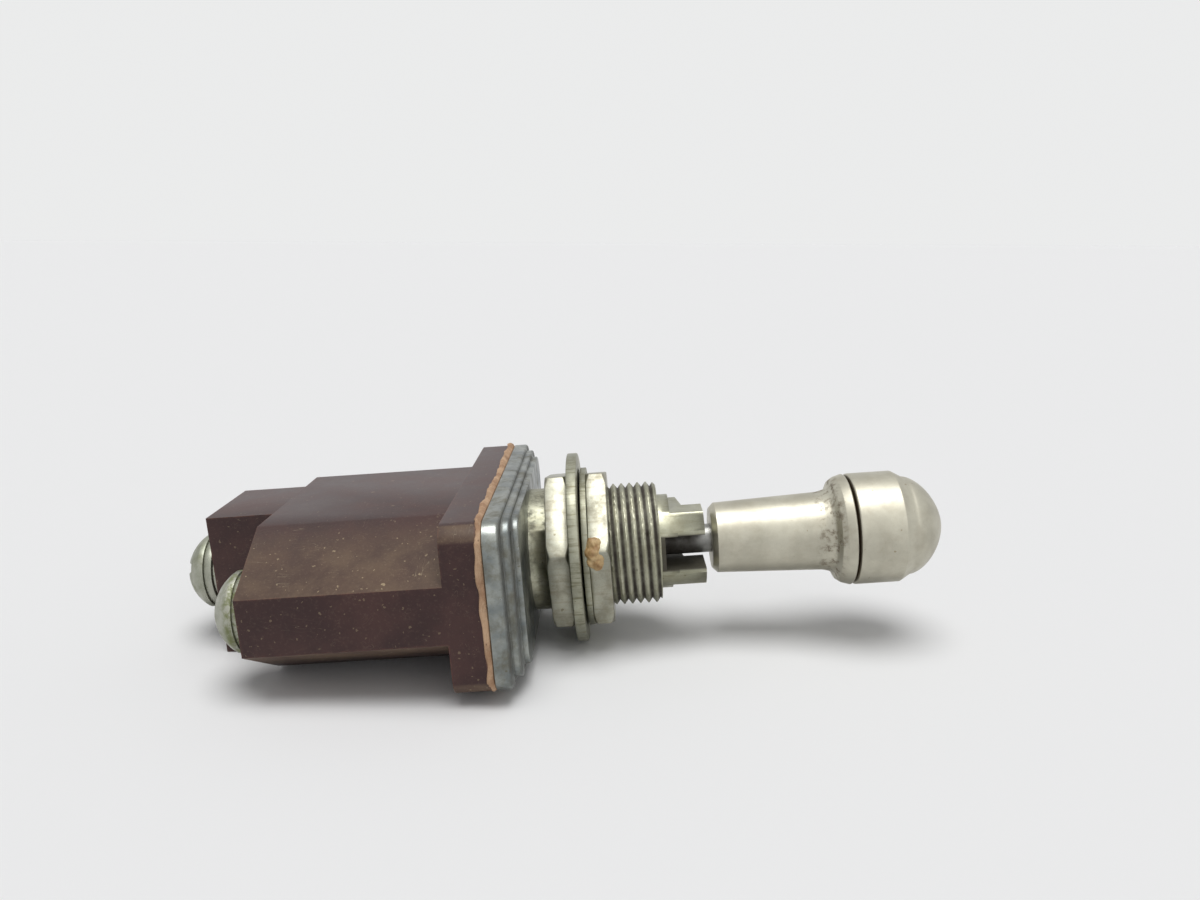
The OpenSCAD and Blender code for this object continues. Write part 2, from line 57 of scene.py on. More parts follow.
# The thread and the lengths of the bushing
THREAD_PITCH = 25.4 / 32 * MM
THREAD_DEPTH = 0.47 * MM
THREAD_RADIUS = frame["record"]["mounts"][0]["dims"]["r_mm"] * MM
GROOVE_HALF_WIDTH = 0.36 * MM
COLLAR_LENGTH = 1.7 * MM
THREAD_END = 12.3 * MM

# The cover's rim, steps, soft edges and wells
RIM_HEIGHT_MM = 1.45
STEP_HEIGHT_MM = 0.7
STEP_IN_Y_MM = 1.75
STEP_IN_Z_MM = 0.35
COVER_WALL_MM = 0.72
CORNER_RADIUS_MM = 1.9
FOOT_EDGE_MM = 0.06
RIM_EDGE_MM = 0.33
STEP_EDGE_MM = 0.18
FACE_EDGE_MM = 0.14
WELL_RADIUS_MM = 0.5
WELL_DEPTH_MM = 0.45
WELL_STRETCH_MM = 1.25
WELL_Y_MM = 13.85
WELL_Z_MM = 4.5

# The handle's groove, its inside and the knob's dome
GROOVE_LENGTH_MM = 0.3
SPIGOT_RADIUS_MM = 3.8
SPRING_BORE_RADIUS_MM = 2.6
SHAFT_BORE_RADIUS_MM = 1.45
DOME_FOOT_RADIUS_MM = 4.82

# How finely curves are stepped
ARC_STEPS = 4
CORNER_STEPS = 11
EDGE_STEPS = 4
DOME_RINGS = 24
TURNED_STEPS = 96

# The surroundings
BODY_HALF_HEIGHT = 6.7 * MM
TABLE = (0.86, 0.86, 0.86)
BACKDROP = (0.83, 0.835, 0.835)
CAMERA_PLACE = (9.261 * MM, -91.784 * MM, 29.72 * MM)
CAMERA_TURN, CAMERA_DOWN, CAMERA_ROLL = -1.308, 12.363, -4.128
CAMERA_LENS = 29.04


# ---------------------------------------------------------------- tools for shaping

def deselect_all():
    if bpy.context.object and bpy.context.object.mode != "OBJECT":
        bpy.ops.object.mode_set(mode="OBJECT")
    bpy.ops.object.select_all(action="DESELECT")


def take(obj):
    """Makes obj the only selected and the active object."""
    deselect_all()
    obj.select_set(True)
    bpy.context.view_layer.objects.active = obj


def apply_modifiers(obj):
    take(obj)
    for modifier in list(obj.modifiers):
        bpy.ops.object.modifier_apply(modifier=modifier.name)


def settle(obj):
    """Puts the object at the origin, with its place in its mesh."""
    take(obj)
    bpy.ops.object.transform_apply(location=True, rotation=True, scale=True)


def smooth(obj, angle=35):
    take(obj)
    bpy.ops.object.shade_smooth_by_angle(angle=math.radians(angle))


def copy_of_node(node, name):
    """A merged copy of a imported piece, with its flat faces made whole again."""
    source = frame["nodes"][node]
    obj = bpy.data.objects.new(name, source.data.copy())
    bpy.context.collection.objects.link(obj)
    take(obj)
    bpy.ops.object.mode_set(mode="EDIT")
    bpy.ops.mesh.select_all(action="SELECT")
    bpy.ops.mesh.remove_doubles(threshold=0.002 * MM)
    bpy.ops.mesh.dissolve_limited(angle_limit=math.radians(0.4))
    bpy.ops.object.mode_set(mode="OBJECT")
    return obj


def softened(corners):
    """Outline points for corners given as (x, radius, rounding), all in millimetres."""
    points = []
    for index, (x, r, rounding) in enumerate(corners):
        here = Vector((x, r))
        before = Vector(corners[index - 1][:2]) - here
        after = Vector(corners[(index + 1) % len(corners)][:2]) - here
        if not rounding:
            points.append(here)
            continue
        half = before.angle(after) / 2
        reach = min(rounding / math.tan(half), before.length * 0.45, after.length * 0.45)
        start, end = here + before.normalized() * reach, here + after.normalized() * reach
        for step in range(ARC_STEPS + 1):
            t = step / ARC_STEPS
            points.append(start.lerp(here, t).lerp(here.lerp(end, t), t))
    return points


def turned(name, points):
    """A lathe piece about the X axis: one vertex is drawn out along the outline, then spun."""
    first, rest = points[0], points[1:] + points[:1]
    deselect_all()
    bpy.ops.mesh.primitive_plane_add(size=MM, location=(first[0] * MM, first[1] * MM, 0))
    obj = bpy.context.object
    obj.name = name
    settle(obj)
    bpy.ops.object.mode_set(mode="EDIT")
    bpy.ops.mesh.select_mode(type="VERT")
    bpy.ops.mesh.select_all(action="SELECT")
    bpy.ops.mesh.merge(type="CENTER")
    here = first
    for point in rest:
        step = (point - here) * MM
        bpy.ops.mesh.extrude_region_move(TRANSFORM_OT_translate={"value": (step[0], step[1], 0)})
        here = point
    bpy.ops.mesh.select_all(action="SELECT")
    bpy.ops.mesh.spin(steps=TURNED_STEPS, angle=math.tau, center=(0, 0, 0), axis=(1, 0, 0))
    bpy.ops.mesh.select_all(action="SELECT")
    bpy.ops.mesh.remove_doubles(threshold=0.001 * MM)
    bpy.ops.mesh.normals_make_consistent(inside=False)
    bpy.ops.object.mode_set(mode="OBJECT")
    return obj


def round_edges(obj, width_mm, segments=2, angle=32):
    bevel = obj.modifiers.new("rounded_edges", "BEVEL")
    bevel.width = width_mm * MM
    bevel.segments = segments
    bevel.limit_method = "ANGLE"
    bevel.angle_limit = math.radians(angle)
    bevel.miter_outer = "MITER_ARC"
    bevel.use_clamp_overlap = True
    apply_modifiers(obj)


def wear_finish(obj, material, node, body):
    """Gives a new piece its material and its place in the frame."""
    obj.data.materials.clear()
    obj.data.materials.append(material)
    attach(obj, body)
    if node:
        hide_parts(node)


# ---------------------------------------------------------------- shader helpers

def new_material(name):
    material = bpy.data.materials.new(name)
    material.use_nodes = True
    tree = material.node_tree
    tree.nodes.clear()
    output = tree.nodes.new("ShaderNodeOutputMaterial")
    shader = tree.nodes.new("ShaderNodeBsdfPrincipled")
    tree.links.new(shader.outputs[0], output.inputs[0])
    return material, tree, shader


def maths(tree, operation, first, second=None, clamp=False):
    made = tree.nodes.new("ShaderNodeMath")
    made.operation = operation
    made.use_clamp = clamp
    for socket, value in zip(made.inputs, (first, second)):
        if value is None:
            continue
        if isinstance(value, (int, float)):
            socket.default_value = value
        else:
            tree.links.new(value, socket)
    return made.outputs[0]


def ramp(tree, value, low, high):
    """Rises smoothly from 0 at low to 1 at high."""
    made = tree.nodes.new("ShaderNodeMapRange")
    made.interpolation_type = "SMOOTHSTEP"
    tree.links.new(value, made.inputs["Value"])
    made.inputs["From Min"].default_value = low
    made.inputs["From Max"].default_value = high
    return made.outputs["Result"]


def blend(tree, factor, first, second):
    """Mixes two colours, each a tuple or a socket."""
    made = tree.nodes.new("ShaderNodeMix")
    made.data_type = "RGBA"
    if isinstance(factor, (int, float)):
        made.inputs[0].default_value = factor
    else:
        tree.links.new(factor, made.inputs[0])
    for index, value in ((6, first), (7, second)):
        if isinstance(value, tuple):
            made.inputs[index].default_value = (*value, 1)
        else:
            tree.links.new(value, made.inputs[index])
    return made.outputs[2]


def lerp(tree, factor, low, high):
    """A number that goes from low to high with factor."""
    made = tree.nodes.new("ShaderNodeMath")
    made.operation = "MULTIPLY_ADD"
    tree.links.new(factor, made.inputs[0])
    made.inputs[1].default_value = high - low
    made.inputs[2].default_value = low
    return made.outputs[0]


def object_points(tree):
    return tree.nodes.new("ShaderNodeTexCoord").outputs["Object"]


def noise(tree, points, size_mm, detail=3.0, rough=0.55, stretch=None):
    """Noise whose blotches are about size_mm across."""
    if stretch:
        mapping = tree.nodes.new("ShaderNodeMapping")
        mapping.inputs["Scale"].default_value = stretch
        tree.links.new(points, mapping.inputs["Vector"])
        points = mapping.outputs[0]
    made = tree.nodes.new("ShaderNodeTexNoise")
    made.inputs["Scale"].default_value = 1 / (size_mm * MM)
    made.inputs["Detail"].default_value = detail
    made.inputs["Roughness"].default_value = rough
    tree.links.new(points, made.inputs["Vector"])
    return made.outputs["Fac"]


# ---------------------------------------------------------------- shared effects

def effect_group(name, outputs, inputs):
    group = bpy.data.node_groups.new(name, "ShaderNodeTree")
    for label, default in inputs:
        socket = group.interface.new_socket(label, in_out="INPUT", socket_type="NodeSocketFloat")
        socket.default_value = default
    for label in outputs:
        group.interface.new_socket(label, in_out="OUTPUT", socket_type="NodeSocketFloat")
    return group, group.nodes.new("NodeGroupInput"), group.nodes.new("NodeGroupOutput")


def make_edge_wear():
    """Where handling has rubbed the edges: the difference between a rounded and a flat normal."""
    group, given, out = effect_group("edge_wear", ["Mask"], [("Width", 0.0003), ("Amount", 1.0)])
    bevel = group.nodes.new("ShaderNodeBevel")
    bevel.samples = 4
    group.links.new(given.outputs["Width"], bevel.inputs["Radius"])
    geometry = group.nodes.new("ShaderNodeNewGeometry")
    dot = group.nodes.new("ShaderNodeVectorMath")
    dot.operation = "DOT_PRODUCT"
    group.links.new(bevel.outputs[0], dot.inputs[0])
    group.links.new(geometry.outputs["Normal"], dot.inputs[1])
    edge = ramp(group, maths(group, "SUBTRACT", 1.0, dot.outputs["Value"]), 0.01, 0.16)
    broken = ramp(group, noise(group, object_points(group), 0.7, 4.0, 0.65), 0.38, 0.62)
    worn = maths(group, "MULTIPLY", edge, broken)
    group.links.new(maths(group, "MULTIPLY", worn, given.outputs["Amount"], True), out.inputs["Mask"])
    return group


def make_specks():
    """Small light specks of dust and filler, scattered at random."""
    group, given, out = effect_group("specks", ["Mask"], [("Size", 0.0006), ("Share", 0.2)])
    cells = group.nodes.new("ShaderNodeTexVoronoi")
    cells.inputs["Randomness"].default_value = 1.0
    points = object_points(group)
    shift = group.nodes.new("ShaderNodeTexNoise")
    shift.inputs["Scale"].default_value = 1 / (0.35 * MM)
    shift.inputs["Detail"].default_value = 3.0
    group.links.new(points, shift.inputs["Vector"])
    bent = group.nodes.new("ShaderNodeVectorMath")
    bent.operation = "MULTIPLY_ADD"
    bent.inputs[1].default_value = (0.5 * MM, 0.5 * MM, 0.5 * MM)
    group.links.new(shift.outputs["Color"], bent.inputs[0])
    group.links.new(points, bent.inputs[2])
    group.links.new(bent.outputs[0], cells.inputs["Vector"])
    group.links.new(maths(group, "DIVIDE", 1.0, given.outputs["Size"]), cells.inputs["Scale"])
    parts = group.nodes.new("ShaderNodeSeparateColor")
    group.links.new(cells.outputs["Color"], parts.inputs[0])
    chosen = maths(group, "LESS_THAN", parts.outputs[0], given.outputs["Share"])
    radius = lerp(group, parts.outputs[1], 0.05, 0.2)
    dot = maths(group, "LESS_THAN", cells.outputs["Distance"], radius)
    group.links.new(maths(group, "MULTIPLY", chosen, dot), out.inputs["Mask"])
    return group


def make_scratches():
    """Thin scratches that wander across the surface in a few directions."""
    group, given, out = effect_group("scratches", ["Mask"], [("Amount", 1.0)])
    points = object_points(group)
    total = None
    for turn, stretch in ((0.4, (1, 14, 9)), (1.9, (12, 1, 10)), (2.7, (2, 9, 1))):
        mapping = group.nodes.new("ShaderNodeMapping")
        mapping.inputs["Rotation"].default_value = (turn, turn * 0.7, turn * 1.3)
        group.links.new(points, mapping.inputs["Vector"])
        field = noise(group, mapping.outputs[0], 5.0, 2.0, 0.5, stretch)
        line = maths(group, "ABSOLUTE", maths(group, "SUBTRACT", field, 0.5))
        thin = maths(group, "SUBTRACT", 1.0, ramp(group, line, 0.001, 0.006))
        gate = ramp(group, noise(group, mapping.outputs[0], 2.6, 2.0), 0.60, 0.68)
        mark = maths(group, "MULTIPLY", thin, gate)
        total = mark if total is None else maths(group, "MAXIMUM", total, mark)
    group.links.new(maths(group, "MULTIPLY", total, given.outputs["Amount"], True), out.inputs["Mask"])
    return group


def make_grain():
    """Fine surface grain as a height, in metres, and a slow blotch for stains."""
    group, given, out = effect_group("grain", ["Height", "Blotch"],
                                     [("Fine", 0.00012), ("Slow", 0.004)])
    points = object_points(group)
    heights = []
    for label in ("Fine", "Slow"):
        made = group.nodes.new("ShaderNodeTexNoise")
        made.inputs["Detail"].default_value = 4.0
        made.inputs["Roughness"].default_value = 0.6
        group.links.new(points, made.inputs["Vector"])
        group.links.new(maths(group, "DIVIDE", 1.0, given.outputs[label]), made.inputs["Scale"])
        heights.append(made.outputs["Fac"])
    group.links.new(heights[0], out.inputs["Height"])
    group.links.new(heights[1], out.inputs["Blotch"])
    return group


EFFECTS = {"edge_wear": make_edge_wear(), "specks": make_specks(),
           "scratches": make_scratches(), "grain": make_grain()}


def effect(tree, name, **values):
    made = tree.nodes.new("ShaderNodeGroup")
    made.node_tree = EFFECTS[name]
    for key, value in values.items():
        made.inputs[key.title()].default_value = value
    return made


def bump(tree, shader, height, strength, depth_mm):
    made = tree.nodes.new("ShaderNodeBump")
    made.inputs["Strength"].default_value = strength
    made.inputs["Distance"].default_value = depth_mm * MM
    tree.links.new(height, made.inputs["Height"])
    tree.links.new(made.outputs[0], shader.inputs["Normal"])


def axis_values(tree):
    """The x coordinate and the distance from the bushing's axis, in metres."""
    parts = tree.nodes.new("ShaderNodeSeparateXYZ")
    tree.links.new(object_points(tree), parts.inputs[0])
    y, z = parts.outputs["Y"], parts.outputs["Z"]
    squares = maths(tree, "ADD", maths(tree, "MULTIPLY", y, y), maths(tree, "MULTIPLY", z, z))
    return parts.outputs["X"], maths(tree, "SQRT", squares)


# ---------------------------------------------------------------- finishes

def slanted_faces(tree):
    """1 on the body's long chamfers, which face neither straight up nor sideways."""
    parts = tree.nodes.new("ShaderNodeSeparateXYZ")
    tree.links.new(tree.nodes.new("ShaderNodeNewGeometry").outputs["Normal"], parts.inputs[0])
    slant = maths(tree, "ABSOLUTE", maths(tree, "MULTIPLY", parts.outputs["Y"], parts.outputs["Z"]))
    return ramp(tree, slant, 0.22, 0.40)


def phenolic_finish():
    """Dark maroon moulding: chamfers rubbed, dusty and painted lighter as if lit; lighter along worn edges.
    """
    material, tree, shader = new_material("moulded_phenolic")
    grain = effect(tree, "grain", fine=0.00022, slow=0.005)
    filler = effect(tree, "specks", size=0.00048, share=0.42)
    chips = effect(tree, "specks", size=0.0011, share=0.06)
    wear = effect(tree, "edge_wear", width=0.0003, amount=0.8)
    marks = effect(tree, "scratches", amount=0.8)
    base = blend(tree, ramp(tree, grain.outputs["Blotch"], 0.35, 0.68),
                 (0.034, 0.0125, 0.0120), (0.058, 0.0235, 0.0205))
    # Painted light: the chamfers get a lighter brown as if lit, in noisy patches that also stand for dust
    # and rubbing.
    patches = ramp(tree, noise(tree, object_points(tree), 3.2, 5.0, 0.65), 0.30, 0.70)
    chamfer_light_and_dust = maths(tree, "MULTIPLY", slanted_faces(tree), lerp(tree, patches, 0.35, 0.95))
    dusty = blend(tree, chamfer_light_and_dust, base, (0.135, 0.088, 0.058))
    mottle = ramp(tree, grain.outputs["Height"], 0.52, 0.78)
    grained = blend(tree, maths(tree, "MULTIPLY", mottle, lerp(tree, chamfer_light_and_dust, 0.16, 0.5)), dusty,
                    (0.23, 0.165, 0.115))
    dots = maths(tree, "MULTIPLY", maths(tree, "MAXIMUM", filler.outputs["Mask"], chips.outputs["Mask"]),
                 lerp(tree, chamfer_light_and_dust, 0.22, 0.8))
    dotted = blend(tree, dots, grained, (0.46, 0.36, 0.22))
    rubbed = blend(tree, maths(tree, "MULTIPLY", wear.outputs["Mask"], 0.75), dotted,
                   (0.20, 0.085, 0.055))
    scratched = blend(tree, maths(tree, "MULTIPLY", marks.outputs["Mask"], lerp(tree, chamfer_light_and_dust, 0.25, 0.7)),
                      rubbed, (0.50, 0.42, 0.28))
    tree.links.new(scratched, shader.inputs["Base Color"])
    gloss = lerp(tree, grain.outputs["Blotch"], 0.30, 0.50)
    roughness = maths(tree, "ADD", gloss, maths(tree, "MULTIPLY", chamfer_light_and_dust, 0.22), True)
    tree.links.new(roughness, shader.inputs["Roughness"])
    shader.inputs["Specular IOR Level"].default_value = 0.34
    bump(tree, shader, grain.outputs["Height"], 0.32, 0.03)
    return material


def gasket_finish():
    """Old peach-coloured rubber, matt and dusty."""
    material, tree, shader = new_material("peach_gasket")
    grain = effect(tree, "grain", fine=0.0003, slow=0.0016)
    specks = effect(tree, "specks", size=0.0007, share=0.25)
    base = blend(tree, ramp(tree, grain.outputs["Blotch"], 0.3, 0.7),
                 (0.34, 0.195, 0.112), (0.56, 0.375, 0.235))
    dusty = blend(tree, maths(tree, "MULTIPLY", ramp(tree, grain.outputs["Height"], 0.5, 0.8), 0.4), base,
                  (0.62, 0.48, 0.33))
    dirty = blend(tree, maths(tree, "MULTIPLY", specks.outputs["Mask"], 0.7), dusty, (0.10, 0.05, 0.03))
    tree.links.new(dirty, shader.inputs["Base Color"])
    shader.inputs["Roughness"].default_value = 0.85
    bump(tree, shader, grain.outputs["Height"], 0.6, 0.1)
    return material


def metal_finish(name, colour, dull, stain, rough, grain_mm=0.1, stain_share=0.4, dirt_and_shade=None, soot_and_shade=None,
                 streaks=0.0):
    """Plated metal: colour where clean, dull where tarnished and stain where it is soiled; a mask, where
    given, adds a dark colour for soiling and painted shade.
    """
    material, tree, shader = new_material(name)
    grain = effect(tree, "grain", fine=grain_mm * MM, slow=0.0032)
    specks = effect(tree, "specks", size=0.0007, share=0.10 + 0.16 * stain_share)
    wear = effect(tree, "edge_wear", width=0.0002, amount=0.7)
    marks = effect(tree, "scratches", amount=0.6)
    tarnish = maths(tree, "MULTIPLY", stain_share,
                    ramp(tree, noise(tree, object_points(tree), 2.1, 5.0, 0.68), 0.44, 0.70))
    base = blend(tree, ramp(tree, grain.outputs["Blotch"], 0.3, 0.7), colour, dull)
    stained = blend(tree, maths(tree, "MULTIPLY", tarnish, 0.7), base, stain)
    mottle = maths(tree, "MULTIPLY", ramp(tree, grain.outputs["Height"], 0.45, 0.8),
                   0.12 + 0.2 * stain_share)
    mottled = blend(tree, mottle, stained, stain)
    spotted = blend(tree, maths(tree, "MULTIPLY", specks.outputs["Mask"], 0.6), mottled, stain)
    bright = tuple(min(0.9, c * 1.25) for c in colour)
    shade = blend(tree, wear.outputs["Mask"], spotted, bright)
    if streaks:
        lines = ramp(tree, noise(tree, object_points(tree), 0.32, 2.0, 0.6, (0.12, 1, 1)), 0.50, 0.72)
        shade = blend(tree, maths(tree, "MULTIPLY", lines, streaks), shade, stain)
    metallic = maths(tree, "SUBTRACT", 1.0, maths(tree, "MULTIPLY", tarnish, 0.45))
    roughness = maths(tree, "ADD", lerp(tree, grain.outputs["Blotch"], rough - 0.07, rough + 0.11),
                      maths(tree, "MULTIPLY", tarnish, 0.2))
    # The mask paints shade in hollows, in the slot and on the cover's ledges, and soiling elsewhere.
    if dirt_and_shade:
        mask = dirt_and_shade(tree)
        shade = blend(tree, mask, shade, soot_and_shade or stain)
        bare = maths(tree, "SUBTRACT", 1.0, maths(tree, "MULTIPLY", mask, 0.85))
        metallic = maths(tree, "MULTIPLY", metallic, bare)
        roughness = maths(tree, "ADD", roughness, maths(tree, "MULTIPLY", mask, 0.35), True)
    tree.links.new(shade, shader.inputs["Base Color"])
    tree.links.new(metallic, shader.inputs["Metallic"])
    tree.links.new(maths(tree, "SUBTRACT", roughness, maths(tree, "MULTIPLY", marks.outputs["Mask"], 0.12)),
                   shader.inputs["Roughness"])
    bump(tree, shader, grain.outputs["Height"], 0.22, 0.014)
    return material


def thread_shade_and_collar_dirt(tree):
    """Painted shade in the roots of the thread and in the gate's slot, with soiling in patches on the
    collar.
    """
    x, radius = axis_values(tree)
    # Painted shade: darker towards the roots of the thread, in patches.
    deep = maths(tree, "SUBTRACT", 1.0,
                 ramp(tree, radius, THREAD_RADIUS - 0.40 * MM, THREAD_RADIUS - 0.03 * MM))
    on_thread = maths(tree, "MULTIPLY", maths(tree, "GREATER_THAN", x, COLLAR_LENGTH),
                      maths(tree, "LESS_THAN", x, THREAD_END - 0.1 * MM))
    patch = lerp(tree, noise(tree, object_points(tree), 1.3, 4.0), 0.45, 1.5)
    root_shade = maths(tree, "MULTIPLY", maths(tree, "MULTIPLY", deep, on_thread), patch, True)
    collar = maths(tree, "MULTIPLY", maths(tree, "LESS_THAN", x, COLLAR_LENGTH + 0.05 * MM),
                   ramp(tree, noise(tree, object_points(tree), 0.9, 4.0, 0.7), 0.42, 0.70))
    parts = tree.nodes.new("ShaderNodeSeparateXYZ")
    tree.links.new(object_points(tree), parts.inputs[0])
    # Painted shade inside the gate's slot.
    in_slot = maths(tree, "SUBTRACT", 1.0,
                    ramp(tree, maths(tree, "ABSOLUTE", parts.outputs["Z"]), 1.62 * MM, 1.85 * MM))
    slot = maths(tree, "MULTIPLY", maths(tree, "MULTIPLY", in_slot, 0.85),
                 maths(tree, "GREATER_THAN", x, THREAD_END + 0.1 * MM))
    return maths(tree, "MAXIMUM", maths(tree, "MAXIMUM", root_shade, slot), maths(tree, "MULTIPLY", collar, 0.5))


def handle_marks_and_groove_shade(tree):
    """Brown handling marks where the sleeve flares and painted shade deep in the groove behind the knob."""
    x, radius = axis_values(tree)
    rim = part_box("handle_knob")[0].x - GROOVE_LENGTH_MM * MM
    flare = maths(tree, "MULTIPLY", ramp(tree, x, rim - 3.9 * MM, rim - 2.3 * MM),
                  maths(tree, "SUBTRACT", 1.0, ramp(tree, x, rim - 1.5 * MM, rim - 0.6 * MM)))
    blotch = ramp(tree, noise(tree, object_points(tree), 0.8, 5.0, 0.72), 0.47, 0.66)
    marks = maths(tree, "MULTIPLY", maths(tree, "MULTIPLY", flare, blotch), 0.75)
    # Painted shade: darker towards the bottom of the groove behind the knob.
    in_groove = maths(tree, "MULTIPLY", maths(tree, "GREATER_THAN", x, rim - 0.12 * MM),
                      maths(tree, "LESS_THAN", x, rim + 0.42 * MM))
    groove = maths(tree, "MULTIPLY", in_groove,
                   maths(tree, "SUBTRACT", 1.0, ramp(tree, radius, 4.9 * MM, 5.42 * MM)))
    return maths(tree, "MAXIMUM", marks, groove)


def cover_ledge_shade(tree):
    """Painted shade on the cover's two ledges, which face forwards beside the steps, and at the roots of
    the steps, in patches.
    """
    x = axis_values(tree)[0]
    rim_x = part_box("cover")[0].x + RIM_HEIGHT_MM * MM
    parts = tree.nodes.new("ShaderNodeSeparateXYZ")
    tree.links.new(tree.nodes.new("ShaderNodeNewGeometry").outputs["Normal"], parts.inputs[0])
    forwards = ramp(tree, parts.outputs["X"], 0.80, 0.97)
    ledges = maths(tree, "MULTIPLY", forwards, maths(tree, "LESS_THAN", x, -0.2 * MM))
    roots = maths(tree, "MAXIMUM", band(tree, x, rim_x, 0.22 * MM),
                  band(tree, x, rim_x + STEP_HEIGHT_MM * MM, 0.22 * MM))
    patch = lerp(tree, ramp(tree, noise(tree, object_points(tree), 1.4, 4.0, 0.65), 0.35, 0.6), 0.55, 1.0)
    both = maths(tree, "MAXIMUM", ledges, maths(tree, "MULTIPLY", roots, 0.6))
    return maths(tree, "MULTIPLY", maths(tree, "MULTIPLY", both, patch), 0.72)


def band(tree, x, middle, half):
    """1 at middle, falling to 0 at a distance of half on either side."""
    away = maths(tree, "ABSOLUTE", maths(tree, "SUBTRACT", x, middle))
    return maths(tree, "SUBTRACT", 1.0, ramp(tree, away, half * 0.3, half))


def gate_shade(tree):
    """Painted shade on the lever's shaft where it runs inside the gate, in patches."""
    x = axis_values(tree)[0]
    patch = lerp(tree, noise(tree, object_points(tree), 0.9, 4.0), 0.5, 1.2)
    inside = maths(tree, "SUBTRACT", 1.0, ramp(tree, x, 15.2 * MM, 17.3 * MM))
    return maths(tree, "MULTIPLY", inside, patch, True)


def rim_patina(tree):
    """Green-brown patina in the ring where a screw's dome meets its edge."""
    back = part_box("near_screw")[0].x
    parts = tree.nodes.new("ShaderNodeSeparateXYZ")
    tree.links.new(object_points(tree), parts.inputs[0])
    near_edge = ramp(tree, parts.outputs["X"], back + 1.3 * MM, back + 2.2 * MM)
    blotch = ramp(tree, noise(tree, object_points(tree), 0.8, 4.0, 0.7), 0.40, 0.62)
    return maths(tree, "MULTIPLY", maths(tree, "MULTIPLY", near_edge, blotch), 0.8)


def rubber_finish():
    """Plain black rubber of the lever's seal."""
    material, tree, shader = new_material("black_rubber")
    grain = effect(tree, "grain", fine=0.0002, slow=0.002)
    tree.links.new(blend(tree, grain.outputs["Blotch"], (0.012, 0.012, 0.013), (0.03, 0.03, 0.031)),
                   shader.inputs["Base Color"])
    shader.inputs["Roughness"].default_value = 0.6
    bump(tree, shader, grain.outputs["Height"], 0.3, 0.02)
    return material


def sealant_finish():
    """Thread sealant that has dried orange-brown in a lump."""
    material, tree, shader = new_material("dried_sealant")
    grain = effect(tree, "grain", fine=0.00025, slow=0.0009)
    base = blend(tree, ramp(tree, grain.outputs["Blotch"], 0.35, 0.65),
                 (0.30, 0.165, 0.06), (0.56, 0.40, 0.20))
    tree.links.new(base, shader.inputs["Base Color"])
    shader.inputs["Roughness"].default_value = 0.55
    bump(tree, shader, grain.outputs["Height"], 0.7, 0.08)
    return material


NICKEL = (0.44, 0.43, 0.35)
# A near-black for real stains and for painted shade in the thread, the slot and round the lever's shaft.
GRIME_AND_SHADE = (0.030, 0.023, 0.015)
FINISHES = {
    "phenolic": phenolic_finish(),
    "gasket": gasket_finish(),
    # The cover's near-black colour is painted shade on its ledges and at the roots of its steps.
    "drawn_steel": metal_finish("drawn_steel", (0.33, 0.345, 0.32), (0.15, 0.17, 0.175),
                                (0.115, 0.10, 0.055), 0.31, 0.25, 0.9, cover_ledge_shade, (0.045, 0.042, 0.036)),
    # The bushing's near-black paints shade in its thread and slot, and soiling on its collar.
    "plated_bushing": metal_finish("plated_bushing", (0.43, 0.425, 0.33), (0.32, 0.32, 0.24),
                                   (0.16, 0.135, 0.065), 0.34, 0.12, 0.5, thread_shade_and_collar_dirt, GRIME_AND_SHADE, 0.25),
    "plated_nuts": metal_finish("plated_nuts", NICKEL, (0.31, 0.31, 0.255),
                                (0.15, 0.12, 0.06), 0.33, 0.14, 0.6, streaks=0.25),
    "plated_washers": metal_finish("plated_washers", (0.38, 0.38, 0.295), (0.25, 0.25, 0.195),
                                   (0.12, 0.105, 0.055), 0.36, 0.16, 0.6, streaks=0.7),
    # The lever's shaft is painted darker inside the gate, as shade.
    "lever_steel": metal_finish("lever_steel", (0.38, 0.38, 0.36), (0.22, 0.22, 0.21), GRIME_AND_SHADE, 0.28,
                                dirt_and_shade=gate_shade),
    # The handle's brown colour marks the flare and paints shade in the groove.
    "handle_metal": metal_finish("handle_metal", (0.54, 0.52, 0.43), (0.44, 0.42, 0.345),
                                 (0.24, 0.18, 0.10), 0.38, 0.09, 0.22, handle_marks_and_groove_shade, (0.10, 0.062, 0.028)),
    "spring_steel": metal_finish("spring_steel", (0.35, 0.35, 0.36), (0.24, 0.24, 0.25), GRIME_AND_SHADE, 0.28),
    "brass": metal_finish("brass", (0.58, 0.42, 0.19), (0.42, 0.30, 0.13), (0.14, 0.09, 0.04), 0.34),
    "copper": metal_finish("copper", (0.60, 0.30, 0.18), (0.42, 0.20, 0.12), (0.14, 0.07, 0.04), 0.34),
    "screw_metal": metal_finish("screw_metal", (0.43, 0.43, 0.37), (0.30, 0.31, 0.25),
                                (0.14, 0.145, 0.06), 0.38, 0.14, 0.7, rim_patina, (0.15, 0.17, 0.045)),
    "black_rubber": rubber_finish(),
}
SLOTS = {part["node"]: part["material_slot"] for part in frame["record"]["subparts"]}


# ---------------------------------------------------------------- pieces

def body_with(node_name):
    """The body that carries a node of the part."""
    bodies = frame["record"]["behaviour"]["bodies"]
    return next(body for body, names in bodies.items() if node_name in names)


def dress_cad_nodes():
    """Pieces whose solid is right keep it and get their finish."""
    for name, obj in frame["nodes"].items():
        obj.data.materials.clear()
        obj.data.materials.append(FINISHES[SLOTS[name]])


def wear_node_finish(obj, node_name):
    """Gives a new piece the finish, body and slot of the node that it replaces."""
    wear_finish(obj, FINISHES[SLOTS[node_name]], node_name, body_with(node_name))


def rounded_piece(node_name, width_mm, segments):
    """The node's own form with its sharp edges rounded."""
    obj = copy_of_node(node_name, node_name + "_rounded")
    round_edges(obj, width_mm, segments)
    smooth(obj)
    wear_node_finish(obj, node_name)


